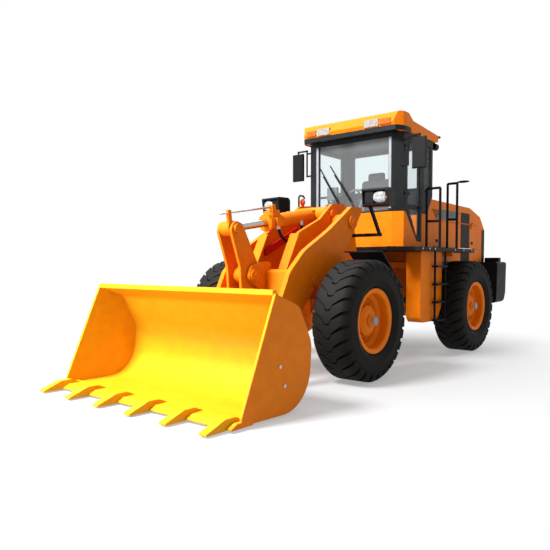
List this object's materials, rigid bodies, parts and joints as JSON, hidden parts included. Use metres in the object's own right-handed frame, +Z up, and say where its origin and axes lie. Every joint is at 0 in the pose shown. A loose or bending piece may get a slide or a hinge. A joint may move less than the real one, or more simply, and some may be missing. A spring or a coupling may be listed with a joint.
{
  "type": "articulated wheel loader",
  "caption": "Jointed wheel loader with an articulated frame, hydraulic lift arm and reversing linkage, toothed bucket, hollow glazed cab, side doors and free-turning wheels.",
  "frame": {"origin": "on the ground below the middle of the overall length, on the machine's centre plane", "axes": "+X forward to the bucket, +Y to the machine's left, +Z up"},
  "size_m": [7.1, 2.5, 3.18],
  "materials": {
    "orange_paint": "semi-gloss",
    "bucket_paint": "semi-gloss",
    "black_paint": "satin",
    "cab_grey": "satin",
    "clear_glass": "clear",
    "lamp_lens": "clear",
    "tyre_rubber": "matt",
    "bright_rod": "polished",
    "engine_iron": "matt",
    "seat_cover": "woven",
    "dark_plastic": "matt"
  },
  "bodies": {
    "rear": {"rear_frame": "orange_paint", "rear_axle": "orange_paint", "counterweight": "black_paint", "hood": "orange_paint", "hood_grille": "black_paint", "engine": "engine_iron", "tanks": "orange_paint", "deck": "black_paint", "ladders": "black_paint", "handrails": "black_paint", "cab_frame": "cab_grey", "cab_base": "orange_paint", "cab_roof": "orange_paint", "cab_glass": "clear_glass", "seat": "seat_cover", "steering_console": "dark_plastic", "roof_lamps": "lamp_lens", "mirrors": "black_paint"},
    "front": {"front_frame": "orange_paint", "front_axle": "orange_paint", "front_fenders": "black_paint", "headlamps": "black_paint"},
    "boom": {"boom": "orange_paint"},
    "bell_crank": {"bell_crank": "orange_paint"},
    "bucket_link": {"bucket_link": "orange_paint"},
    "bucket": {"bucket": "bucket_paint", "bucket_teeth": "bucket_paint"},
    "tilt_barrel": {"tilt_barrel": "orange_paint"},
    "tilt_rod": {"tilt_rod": "bright_rod"},
    "lift_barrel_left": {"lift_barrel_left": "orange_paint"},
    "lift_barrel_right": {"lift_barrel_right": "orange_paint"},
    "lift_rod_left": {"lift_rod_left": "bright_rod"},
    "lift_rod_right": {"lift_rod_right": "bright_rod"},
    "steer_barrel_left": {"steer_barrel_left": "black_paint"},
    "steer_barrel_right": {"steer_barrel_right": "black_paint"},
    "steer_rod_left": {"steer_rod_left": "bright_rod"},
    "steer_rod_right": {"steer_rod_right": "bright_rod"},
    "wheel_front_left": {"tyre_front_left": "tyre_rubber", "rim_front_left": "orange_paint"},
    "wheel_front_right": {"tyre_front_right": "tyre_rubber", "rim_front_right": "orange_paint"},
    "wheel_rear_left": {"tyre_rear_left": "tyre_rubber", "rim_rear_left": "orange_paint"},
    "wheel_rear_right": {"tyre_rear_right": "tyre_rubber", "rim_rear_right": "orange_paint"},
    "cab_door": {"cab_door": "cab_grey", "cab_door_glass": "clear_glass"},
    "hood_door_left": {"hood_door_left": "orange_paint"},
    "hood_door_right": {"hood_door_right": "orange_paint"}
  },
  "joints": [
    {"name": "articulation", "type": "hinge", "parent": "rear", "child": "front", "pos_m": [-0.395, 0, 0.825], "axis": [0, 0, -1], "range_deg": [-38, 38]},
    {"name": "boom_lift", "type": "hinge", "parent": "front", "child": "boom", "pos_m": [0.56, 0, 1.76], "axis": [0, -1, 0], "range_deg": [0, 86]},
    {"name": "bucket_tilt", "type": "hinge", "parent": "boom", "child": "bucket", "pos_m": [2.24, 0, 0.285], "axis": [0, 1, 0], "range_deg": [-40, 120]},
    {"name": "lever_swing", "type": "hinge", "parent": "boom", "child": "bell_crank", "pos_m": [1.9, 0, 1.15], "axis": [0, 1, 0], "range_deg": [-30, 12]},
    {"name": "link_swing", "type": "hinge", "parent": "bucket", "child": "bucket_link", "pos_m": [2.28, 0, 0.64], "axis": [0, 1, 0], "range_deg": [-44, 16]},
    {"name": "tilt_cylinder_swing", "type": "hinge", "parent": "front", "child": "tilt_barrel", "pos_m": [0.63, 0, 1.865], "axis": [0, -1, 0], "range_deg": [-1, 93.02]},
    {"name": "tilt_cylinder_stroke", "type": "slide", "parent": "tilt_barrel", "child": "tilt_rod", "axis": [0.9875, 0, -0.1573], "range_m": [-0.27, 0.1]},
    {"name": "lift_cylinder_swing_left", "type": "hinge", "parent": "front", "child": "lift_barrel_left", "pos_m": [0.27, 0.3525, 1.02], "axis": [0, -1, 0], "range_deg": [-1, 52.86]},
    {"name": "lift_cylinder_stroke_left", "type": "slide", "parent": "lift_barrel_left", "child": "lift_rod_left", "axis": [0.9983, 0, 0.0587], "range_m": [-0.005, 0.8]},
    {"name": "lift_cylinder_swing_right", "type": "hinge", "parent": "front", "child": "lift_barrel_right", "pos_m": [0.27, -0.3525, 1.02], "axis": [0, -1, 0], "range_deg": [-1, 52.86]},
    {"name": "lift_cylinder_stroke_right", "type": "slide", "parent": "lift_barrel_right", "child": "lift_rod_right", "axis": [0.9983, 0, 0.0587], "range_m": [-0.005, 0.8]},
    {"name": "steering_cylinder_swing_left", "type": "hinge", "parent": "rear", "child": "steer_barrel_left", "pos_m": [-1.245, 0.47, 0.76], "axis": [0, 0, 1], "range_deg": [-13.5, 13.5]},
    {"name": "steering_cylinder_stroke_left", "type": "slide", "parent": "steer_barrel_left", "child": "steer_rod_left", "axis": [0.9999, -0.016, 0], "range_m": [-0.3, 0.3]},
    {"name": "steering_cylinder_swing_right", "type": "hinge", "parent": "rear", "child": "steer_barrel_right", "pos_m": [-1.245, -0.47, 0.76], "axis": [0, 0, 1], "range_deg": [-13.5, 13.5]},
    {"name": "steering_cylinder_stroke_right", "type": "slide", "parent": "steer_barrel_right", "child": "steer_rod_right", "axis": [0.9999, 0.016, 0], "range_m": [-0.3, 0.3]},
    {"name": "wheel_front_left", "type": "hinge", "parent": "front", "child": "wheel_front_left", "pos_m": [1.03, 0.925, 0.655], "axis": [0, 1, 0], "continuous": true},
    {"name": "wheel_front_right", "type": "hinge", "parent": "front", "child": "wheel_front_right", "pos_m": [1.03, -0.925, 0.655], "axis": [0, 1, 0], "continuous": true},
    {"name": "wheel_rear_left", "type": "hinge", "parent": "rear", "child": "wheel_rear_left", "pos_m": [-1.82, 0.925, 0.655], "axis": [0, 1, 0], "continuous": true},
    {"name": "wheel_rear_right", "type": "hinge", "parent": "rear", "child": "wheel_rear_right", "pos_m": [-1.82, -0.925, 0.655], "axis": [0, 1, 0], "continuous": true},
    {"name": "cab_door_hinge", "type": "hinge", "parent": "rear", "child": "cab_door", "pos_m": [-0.312, 0.762, 2.4], "axis": [0, 0, -1], "range_deg": [0, 80]},
    {"name": "hood_door_hinge_left", "type": "hinge", "parent": "rear", "child": "hood_door_left", "pos_m": [-2.2445, 0.634, 1.904], "axis": [1, 0, 0], "range_deg": [0, 80]},
    {"name": "hood_door_hinge_right", "type": "hinge", "parent": "rear", "child": "hood_door_right", "pos_m": [-2.2445, -0.634, 1.904], "axis": [-1, 0, 0], "range_deg": [0, 80]}
  ],
  "couplings": [
    {"joint": "lever_swing", "follows": "bucket_tilt", "ratio": -0.24},
    {"joint": "link_swing", "follows": "bucket_tilt", "ratio": -0.36},
    {"joint": "tilt_cylinder_swing", "follows": "boom_lift", "ratio": 1.07},
    {"joint": "tilt_cylinder_stroke", "follows": "bucket_tilt", "m_per_rad": -0.1243},
    {"joint": "lift_cylinder_swing_left", "follows": "boom_lift", "ratio": 0.603},
    {"joint": "lift_cylinder_stroke_left", "follows": "boom_lift", "m_per_rad": 0.5275},
    {"joint": "lift_cylinder_swing_right", "follows": "boom_lift", "ratio": 0.603},
    {"joint": "lift_cylinder_stroke_right", "follows": "boom_lift", "m_per_rad": 0.5275},
    {"joint": "steering_cylinder_swing_left", "follows": "articulation", "ratio": -0.33},
    {"joint": "steering_cylinder_stroke_left", "follows": "articulation", "m_per_rad": 0.448},
    {"joint": "steering_cylinder_swing_right", "follows": "articulation", "ratio": -0.33},
    {"joint": "steering_cylinder_stroke_right", "follows": "articulation", "m_per_rad": -0.448}
  ]
}
